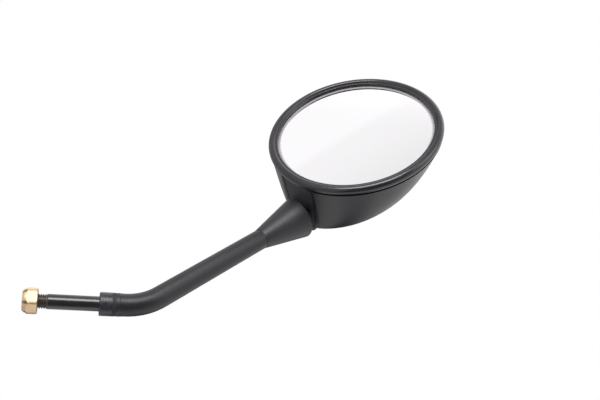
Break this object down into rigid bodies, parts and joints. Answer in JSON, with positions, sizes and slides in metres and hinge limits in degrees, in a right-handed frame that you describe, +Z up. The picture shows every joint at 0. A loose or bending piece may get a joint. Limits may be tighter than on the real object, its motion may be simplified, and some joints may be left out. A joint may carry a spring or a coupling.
{
  "type": "motorcycle mirror",
  "caption": "Round rear-view mirror on a bent stem: convex glass in a deep bowl housing, a clamped ball joint behind it, and a threaded shank with a lock nut.",
  "frame": {"origin": "Middle of the shoulder collar's lower face, where the stem seats on the bracket.", "axes": "+Z runs up the stem's shank. The glass faces -Y, towards the rider, and the stem bends towards -X, the rider's left."},
  "size_m": [0.2089, 0.087, 0.2928],
  "materials": {
    "black_steel": "gloss black paint",
    "sleeve_rubber": "satin, fine grain",
    "boot_rubber": "satin",
    "housing_plastic": "fine moulded grain",
    "seal_rubber": "grained",
    "bezel_plastic": "gloss black",
    "mirror": "silvered convex glass",
    "yellow_zinc": "yellow zinc plate",
    "bright_steel": "bright zinc plate",
    "nylon": "natural nylon",
    "foam": "closed cell foam"
  },
  "bodies": {
    "stem": {"stem_rod": "black_steel", "shoulder_collar": "black_steel", "stem_sleeve": "sleeve_rubber", "neck_cone": "boot_rubber", "pivot_ball": "bright_steel"},
    "lock_nut": {"lock_nut": "yellow_zinc", "lock_nut_insert": "nylon"},
    "seat_rear": {"ball_seat_rear": "nylon"},
    "seat_front": {"ball_seat_front": "nylon"},
    "head": {"housing_shell": "housing_plastic", "neck_seal": "seal_rubber", "bezel_ring": "bezel_plastic", "mirror_glass": "mirror", "glass_pad": "foam", "clamp_plate": "bright_steel", "clamp_springs": "bright_steel", "clamp_washers": "bright_steel", "clamp_screws": "bright_steel"}
  },
  "joints": [
    {"name": "nut_run", "type": "slide", "parent": "stem", "child": "lock_nut", "axis": [0, 0, 1], "range_m": [-0.06, 0.0062]},
    {"name": "head_swivel", "type": "hinge", "parent": "stem", "child": "seat_rear", "pos_m": [-0.09534, 0, 0.15621], "axis": [-0.6018, 0, 0.7986], "range_deg": [-30, 30]},
    {"name": "head_tilt", "type": "hinge", "parent": "seat_rear", "child": "seat_front", "pos_m": [-0.09534, 0, 0.15621], "axis": [-0.7487, 0.3479, -0.5642], "range_deg": [-4, 20]},
    {"name": "head_swing", "type": "hinge", "parent": "seat_front", "child": "head", "pos_m": [-0.09534, 0, 0.15621], "axis": [-0.1587, -0.9205, -0.357], "range_deg": [-10, 10]}
  ]
}
